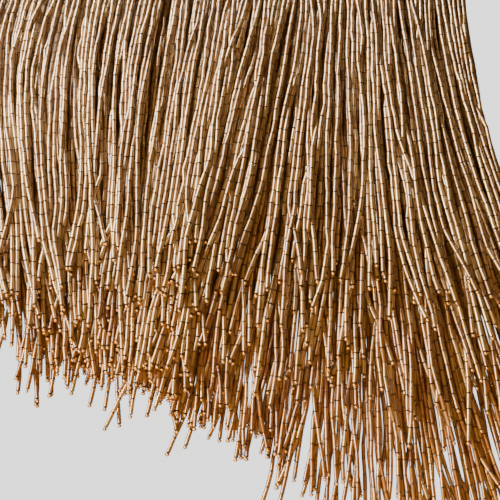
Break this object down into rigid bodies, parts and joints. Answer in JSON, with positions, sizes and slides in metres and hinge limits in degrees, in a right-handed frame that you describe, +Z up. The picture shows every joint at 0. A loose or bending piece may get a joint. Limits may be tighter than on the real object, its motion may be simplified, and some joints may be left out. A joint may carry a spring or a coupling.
{
  "type": "beaded fringe trim",
  "caption": "Gold glass bead fringe: long strands of tube beads in stepped tiers, hanging from a narrow woven heading tape.",
  "frame": {"origin": "middle of the heading's top edge, on the mid line of the three tapes", "axes": "+X along the heading to the viewer's right, -Y the face side, +Z up; the strands hang down -Z"},
  "size_m": [0.2907, 0.04, 0.3],
  "materials": {
    "beads_front": "polished champagne gold glass tubes, silver lined",
    "beads_middle": "polished gold glass tubes, silver lined",
    "beads_back": "polished honey gold glass tubes, silver lined",
    "seed_beads": "clear amber glass",
    "thread": "brown bead thread",
    "heading_tape": "gold-brown woven tape"
  },
  "bodies": {
    "root": {"tier_front": "beads_front", "tier_middle": "beads_middle", "tier_back": "beads_back"}
  },
  "joints": []
}
